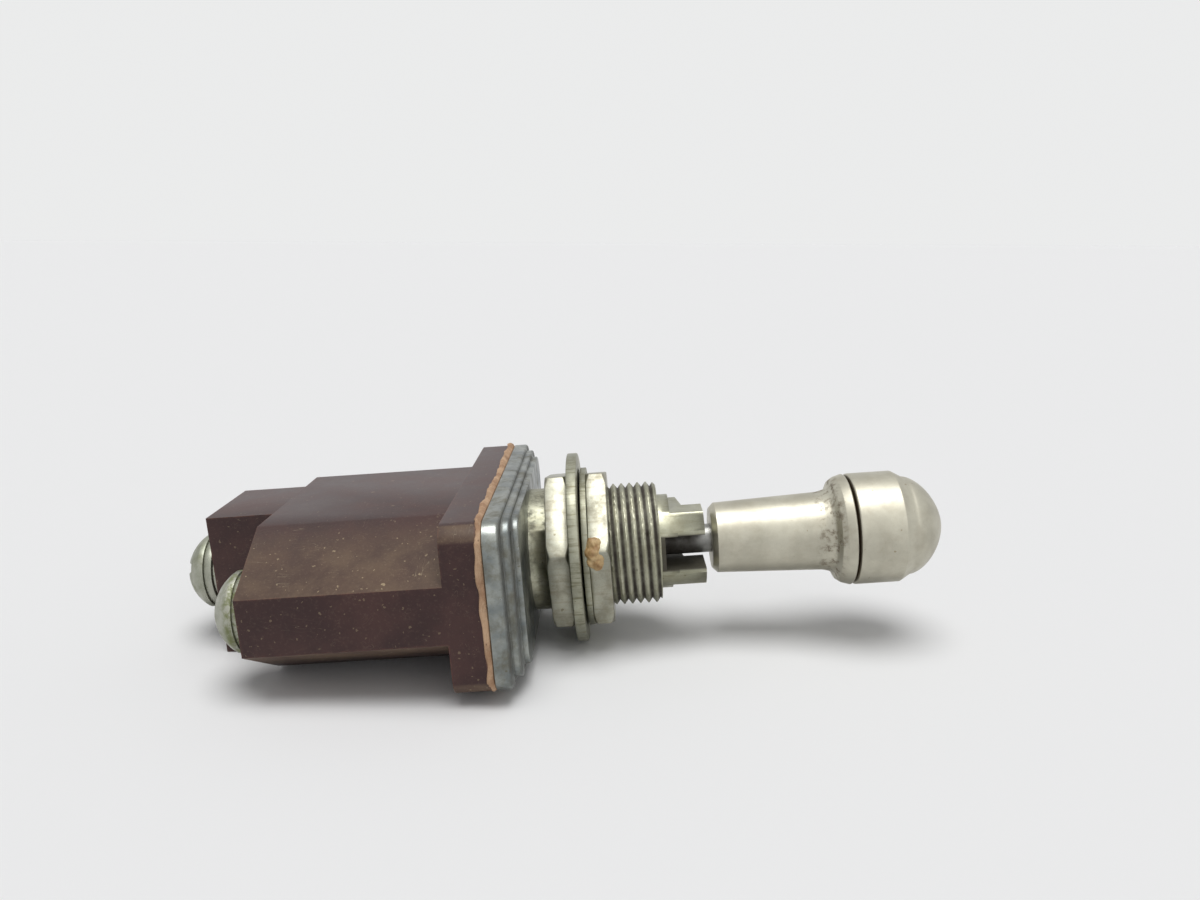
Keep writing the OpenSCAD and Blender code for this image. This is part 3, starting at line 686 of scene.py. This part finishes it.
def ring_points(x, half_y, half_z, corner):
    """Points round a rounded rectangle across the X axis, or round a circle if corner is 0."""
    points = []
    for quarter, (side, up) in enumerate(((1, 1), (-1, 1), (-1, -1), (1, -1))):
        for step in range(CORNER_STEPS + 1):
            if corner:
                turn = math.pi / 2 * (quarter + step / CORNER_STEPS)
                centre = side * (half_y - corner), up * (half_z - corner)
            else:
                turn = math.pi / 2 * (quarter + (step + 0.5) / (CORNER_STEPS + 1))
                centre = 0, 0
            reach = corner or half_y
            across = centre[0] + reach * math.cos(turn)
            height = centre[1] + reach * math.sin(turn)
            points.append(Vector((x, across, height)) * MM)
    return points


def lofted(name, rings):
    """A closed skin through rings of points, the last joined to the first."""
    around = len(rings[0])
    deselect_all()
    bpy.ops.mesh.primitive_grid_add(x_subdivisions=around, y_subdivisions=len(rings), size=MM)
    obj = bpy.context.object
    obj.name = name
    for index, vertex in enumerate(obj.data.vertices):
        ring, place = divmod(index, around + 1)
        vertex.co = rings[ring % len(rings)][place % around]
    bpy.ops.object.mode_set(mode="EDIT")
    bpy.ops.mesh.select_all(action="SELECT")
    bpy.ops.mesh.remove_doubles(threshold=0.001 * MM)
    bpy.ops.mesh.normals_make_consistent(inside=False)
    bpy.ops.object.mode_set(mode="OBJECT")
    return obj


def stepped_edge(x, half_y, half_z, corner, radius):
    """Rings over a soft outer edge whose front is at x."""
    rings = []
    for step in range(EDGE_STEPS + 1):
        turn = math.pi / 2 * step / EDGE_STEPS
        inset = radius * (1 - math.cos(turn))
        rings.append(ring_points(x - radius + radius * math.sin(turn), half_y - inset, half_z - inset,
                                 corner - inset))
    return rings


def cut_away(obj, cutter):
    """Takes the cutter's form out of obj, and deletes the cutter."""
    cut = obj.modifiers.new("cut", "BOOLEAN")
    cut.operation = "DIFFERENCE"
    cut.solver = "MANIFOLD"
    cut.object = cutter
    apply_modifiers(obj)
    bpy.data.objects.remove(cutter)


def well_cutter(step_x, side):
    """A round-ended bar that presses the well into the middle step."""
    deselect_all()
    bpy.ops.mesh.primitive_cylinder_add(vertices=24, radius=WELL_RADIUS_MM * MM,
                                        depth=2 * WELL_DEPTH_MM * MM,
                                        location=(step_x * MM, side * WELL_Y_MM * MM, WELL_Z_MM * MM),
                                        rotation=(0, math.pi / 2, 0))
    cutter = bpy.context.object
    settle(cutter)
    for vertex in cutter.data.vertices:
        vertex.co.z += (WELL_STRETCH_MM if vertex.co.z > WELL_Z_MM * MM else -WELL_STRETCH_MM) * MM
    return cutter


def drawn_cover():
    """The cover: a soft drawn rim, two steps, thin walls behind them and a well at each end."""
    low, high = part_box("cover")
    back, half_y, half_z = low.x / MM, high.y / MM, high.z / MM
    rim_x, step_x = back + RIM_HEIGHT_MM, back + RIM_HEIGHT_MM + STEP_HEIGHT_MM
    corner, wall, hole = CORNER_RADIUS_MM, COVER_WALL_MM, THREAD_RADIUS / MM
    y1, z1 = half_y - STEP_IN_Y_MM, half_z - STEP_IN_Z_MM
    y2, z2 = half_y - 2 * STEP_IN_Y_MM, half_z - 2 * STEP_IN_Z_MM
    # The outside, from the foot to the face, with a small fillet at the root of each step
    outside = [ring_points(back, half_y - FOOT_EDGE_MM, half_z - FOOT_EDGE_MM, corner),
               ring_points(back + FOOT_EDGE_MM, half_y, half_z, corner),
               *stepped_edge(rim_x, half_y, half_z, corner, RIM_EDGE_MM),
               ring_points(rim_x - 0.02, y1 + 0.02, z1 + 0.01, corner),
               ring_points(rim_x + 0.06, y1, z1, corner),
               *stepped_edge(step_x, y1, z1, corner, STEP_EDGE_MM),
               ring_points(step_x, y2 + 0.08, z2 + 0.04, corner),
               ring_points(step_x + 0.08, y2, z2, corner),
               *stepped_edge(0, y2, z2, corner, FACE_EDGE_MM)]
    bore = [ring_points(0, hole, hole, 0), ring_points(-wall, hole, hole, 0)]
    # The inside follows the outside one wall's thickness behind it
    corners = ((0, y2, z2), (step_x, y2, z2), (step_x, y1, z1), (rim_x, y1, z1), (rim_x, half_y, half_z))
    inside = [ring_points(x - wall, y - wall, z - wall, corner - wall) for x, y, z in corners]
    foot = ring_points(back, half_y - wall, half_z - wall, corner - wall)
    obj = lofted("cover_drawn", outside + bore + inside + [foot])
    for side in (-1, 1):
        cut_away(obj, well_cutter(step_x, side))
    smooth(obj, 38)
    wear_node_finish(obj, "cover")


def swell(obj, lump_mm, least_mm, most_mm, share):
    """Pushes the skin out along its normals by lumps about lump_mm across."""
    normals = [vertex.normal.copy() for vertex in obj.data.vertices]
    for vertex, normal in zip(obj.data.vertices, normals):
        lump = 0.5 + 0.5 * lumps.fractal(vertex.co / (lump_mm * MM), 1.0, 2.0, 2)
        push = least_mm + (most_mm - least_mm) * min(1.0, max(0.0, lump))
        vertex.co += normal * push * MM * share(vertex)


def squeezed_gasket():
    """The gasket as it bulges out of the joint over the flange, uneven all the way round."""
    obj = copy_of_node("case_gasket", "gasket_squeezed")
    remesh = obj.modifiers.new("even_mesh", "REMESH")
    remesh.mode = "VOXEL"
    remesh.voxel_size = 0.13 * MM
    apply_modifiers(obj)
    low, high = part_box("case_gasket")
    back_half = (low.x + high.x) / 2 + 0.04 * MM

    def share_of_rim(vertex):
        depth = max(abs(vertex.co.y) - high.y, abs(vertex.co.z) - high.z) / MM
        rim = min(1.0, max(0.0, 1.0 + depth / 0.4))
        return rim if vertex.co.x < back_half else -0.5 * rim

    swell(obj, 2.2, 0.02, 0.36, share_of_rim)
    for vertex in obj.data.vertices:
        proud = max(abs(vertex.co.y) - high.y, abs(vertex.co.z) - high.z)
        if proud > 0 and vertex.co.x < back_half:
            vertex.co.x -= min(proud * 0.8, 0.2 * MM)
    smooth(obj, 60)
    wear_node_finish(obj, "case_gasket")


def flared_sleeve():
    """The handle's sleeve: a slow taper, a cove, and a rim behind the groove."""
    low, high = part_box("handle_sleeve")
    start, end = low.x / MM, high.x / MM
    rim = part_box("handle_knob")[0].x / MM - GROOVE_LENGTH_MM
    shoulder = start + 2.2
    mouth = [(start + 0.05, SHAFT_BORE_RADIUS_MM, 0), (start + 0.05, 2.95, 0.08),
             (start + 0.55, 3.44, 0.12)]
    cove = [(rim - 2.60, 3.83, 1.6), (rim - 1.72, 4.06, 0.6), (rim - 1.32, 4.88, 0.10),
            (rim - 0.85, 5.20, 0.25), (rim - 0.10, 5.43, 0.06), (rim, 5.36, 0)]
    spigot = [(rim, SPIGOT_RADIUS_MM, 0), (end, SPIGOT_RADIUS_MM, 0), (end, SPRING_BORE_RADIUS_MM, 0)]
    bore = [(shoulder, SPRING_BORE_RADIUS_MM, 0), (shoulder, SHAFT_BORE_RADIUS_MM, 0)]
    obj = turned("handle_sleeve_flared", softened(mouth + cove + spigot + bore))
    smooth(obj, 30)
    wear_node_finish(obj, "handle_sleeve")


def domed_knob():
    """The knob: a cylinder, a low cone and a full round dome."""
    low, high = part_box("handle_knob")
    back, tip, radius = low.x / MM, high.x / MM, high.y / MM
    cone_x, dome_x = tip - 4.65, tip - 3.6
    dome = []
    for step in range(DOME_RINGS + 1):
        share = math.sin(math.pi / 2 * step / DOME_RINGS)
        dome.append((dome_x + (tip - dome_x) * share, DOME_FOOT_RADIUS_MM * (1 - share ** 1.7) ** 0.62, 0))
    hollow = [(back + 3.3, 0, 0), (back + 3.3, SPRING_BORE_RADIUS_MM, 0),
              (back + 2.7, SPRING_BORE_RADIUS_MM, 0), (back + 2.7, SPIGOT_RADIUS_MM, 0)]
    cylinder = [(back, SPIGOT_RADIUS_MM, 0), (back, radius, 0.2), (cone_x, radius, 0.3)]
    obj = turned("handle_knob_domed", softened(cylinder + dome + hollow))
    smooth(obj, 30)
    wear_node_finish(obj, "handle_knob")


def turned_screw(node_name, degrees):
    """A terminal screw stopped at its own angle, with softened edges."""
    obj = copy_of_node(node_name, node_name + "_turned")
    low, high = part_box(node_name)
    centre = (low + high) / 2
    bpy.ops.object.mode_set(mode="EDIT")
    bpy.ops.mesh.select_all(action="SELECT")
    bpy.ops.transform.rotate(value=math.radians(degrees), orient_axis="X", center_override=centre)
    bpy.ops.object.mode_set(mode="OBJECT")
    round_edges(obj, 0.09, 2, 30)
    smooth(obj, 30)
    wear_node_finish(obj, node_name)


def wound_spring(node_name):
    """A copy of the spring, smoothed, with the node's finish and a mesh of its own."""
    obj = copy_of_node(node_name, node_name + "_wound")
    smooth(obj, 50)
    wear_node_finish(obj, node_name)
    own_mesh(obj)


def sealant_lump():
    """A blob of dried sealant on the front nut's near side."""
    nut_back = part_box("front_nut")[0].x
    deselect_all()
    bpy.ops.mesh.primitive_ico_sphere_add(subdivisions=5, radius=MM, location=(0, 0, 0))
    obj = bpy.context.object
    obj.name = "sealant_lump"
    obj.scale = (0.85, 0.6, 1.5)
    obj.location = (nut_back + 0.55 * MM, -7.42 * MM, 1.6 * MM)
    obj.rotation_euler = (math.radians(-14), 0, 0)
    settle(obj)
    swell(obj, 0.7, -0.16, 0.28, lambda vertex: 1.0)
    smooth(obj, 60)
    wear_finish(obj, sealant_finish(), None, body_with("front_nut"))


def thread_cutter():
    """A V-shaped groove wound along the bushing as one long solid."""
    turns = math.ceil((THREAD_END - COLLAR_LENGTH) / THREAD_PITCH) + 1
    start = COLLAR_LENGTH + GROOVE_HALF_WIDTH
    deselect_all()
    bpy.ops.mesh.primitive_circle_add(vertices=3, radius=GROOVE_HALF_WIDTH, fill_type="NOTHING")
    cutter = bpy.context.object
    cutter.name = "thread_cutter"
    corners = ((start - GROOVE_HALF_WIDTH, THREAD_RADIUS + 0.02 * MM),
               (start + GROOVE_HALF_WIDTH, THREAD_RADIUS + 0.02 * MM),
               (start, THREAD_RADIUS - THREAD_DEPTH))
    for vertex, (x, y) in zip(cutter.data.vertices, corners):
        vertex.co = (x, y, 0)
    screw = cutter.modifiers.new("wind", "SCREW")
    screw.axis = "X"
    screw.angle = math.tau
    screw.screw_offset = THREAD_PITCH
    screw.iterations = turns
    screw.steps = 72
    screw.render_steps = 72
    screw.use_merge_vertices = False
    apply_modifiers(cutter)
    bpy.ops.object.mode_set(mode="EDIT")
    bpy.ops.mesh.select_all(action="SELECT")
    bpy.ops.mesh.fill_holes(sides=3)
    bpy.ops.mesh.normals_make_consistent(inside=False)
    bpy.ops.object.mode_set(mode="OBJECT")
    return cutter


def threaded_bushing():
    """The bushing with its thread cut by one boolean."""
    obj = copy_of_node("bushing", "bushing_threaded")
    cut_away(obj, thread_cutter())
    smooth(obj, 28)
    wear_node_finish(obj, "bushing")


dress_cad_nodes()
threaded_bushing()
drawn_cover()
squeezed_gasket()
flared_sleeve()
domed_knob()
sealant_lump()
wound_spring("handle_spring")
wound_spring("plunger_spring")
for name, degrees in (("centre_screw", 28), ("near_screw", -38), ("far_screw", 65)):
    turned_screw(name, degrees)
for name, width, segments in (("case", 0.3, 3), ("front_nut", 0.1, 2), ("rear_nut", 0.1, 2),
                              ("locking_ring", 0.12, 2), ("lock_washer", 0.06, 2),
                              ("terminal_washers", 0.08, 2)):
    rounded_piece(name, width, segments)


# ---------------------------------------------------------------- floor, lamps and camera

def resting_plane():
    """Point and tilt of the table: it touches the locking ring and the centre block's back edge."""
    ring_low, ring_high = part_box("locking_ring")
    case_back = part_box("case")[0].x
    rise = (ring_high.y - BODY_HALF_HEIGHT) / (ring_low.x - case_back)
    return Vector((case_back, 0, -BODY_HALF_HEIGHT)), math.atan(rise)


def make_floor():
    """A plain pale table under the resting switch."""
    point, tilt = resting_plane()
    deselect_all()
    bpy.ops.mesh.primitive_plane_add(size=12.0, location=(0, 0, 0))
    floor = bpy.context.object
    floor.name = "floor"
    floor.matrix_world = Matrix.Translation(point) @ Matrix.Rotation(tilt, 4, "Y")
    settle(floor)
    material, _, shader = new_material("pale_table")
    shader.inputs["Base Color"].default_value = (*TABLE, 1)
    shader.inputs["Roughness"].default_value = 0.9
    shader.inputs["Specular IOR Level"].default_value = 0.1
    floor.data.materials.append(material)


def make_sun(name, direction, strength, softness):
    """A broad soft lamp far away, so that the table is lit evenly."""
    light = bpy.data.lights.new(name, "SUN")
    light.energy = strength
    light.angle = math.radians(softness)
    lamp = bpy.data.objects.new(name, light)
    bpy.context.collection.objects.link(lamp)
    lamp.rotation_euler = (-Vector(direction)).to_track_quat("-Z", "Y").to_euler()


def make_world():
    """Pale backdrop for the camera and for reflections, softer light for everything else."""
    world = bpy.data.worlds.new("studio")
    world.use_nodes = True
    tree = world.node_tree
    tree.nodes.clear()
    output = tree.nodes.new("ShaderNodeOutputWorld")
    seen = tree.nodes.new("ShaderNodeBackground")
    lit = tree.nodes.new("ShaderNodeBackground")
    seen.inputs["Color"].default_value = (*BACKDROP, 1)
    seen.inputs["Strength"].default_value = 1.0
    lit.inputs["Color"].default_value = (0.97, 0.98, 1.0, 1)
    lit.inputs["Strength"].default_value = 0.30
    path = tree.nodes.new("ShaderNodeLightPath")
    plain = maths(tree, "MAXIMUM", path.outputs["Is Camera Ray"], path.outputs["Is Glossy Ray"])
    plain = maths(tree, "MAXIMUM", plain, path.outputs["Is Transmission Ray"])
    mix = tree.nodes.new("ShaderNodeMixShader")
    tree.links.new(plain, mix.inputs[0])
    tree.links.new(lit.outputs[0], mix.inputs[1])
    tree.links.new(seen.outputs[0], mix.inputs[2])
    tree.links.new(mix.outputs[0], output.inputs[0])
    bpy.context.scene.world = world


def make_camera():
    """Close to the switch and a little above it, so that the perspective is strong."""
    camera_data = bpy.data.cameras.new("camera")
    camera_data.sensor_width = 36
    camera_data.lens = CAMERA_LENS
    camera_data.clip_start = 0.001
    camera = bpy.data.objects.new("camera", camera_data)
    bpy.context.collection.objects.link(camera)
    turn, down, roll = (math.radians(angle) for angle in (CAMERA_TURN, CAMERA_DOWN, CAMERA_ROLL))
    aim = (Matrix.Rotation(-turn, 4, "Z") @ Matrix.Rotation(math.pi / 2 - down, 4, "X")
           @ Matrix.Rotation(roll, 4, "Z"))
    camera.matrix_world = Matrix.Translation(CAMERA_PLACE) @ aim
    bpy.context.scene.camera = camera


make_floor()
make_world()
make_camera()
make_sun("overhead_light", (0.10, -0.16, 1.0), 1.9, 42)
make_sun("front_light", (0.45, -1.0, 0.75), 0.35, 60)
bpy.context.scene.view_settings.view_transform = "Standard"
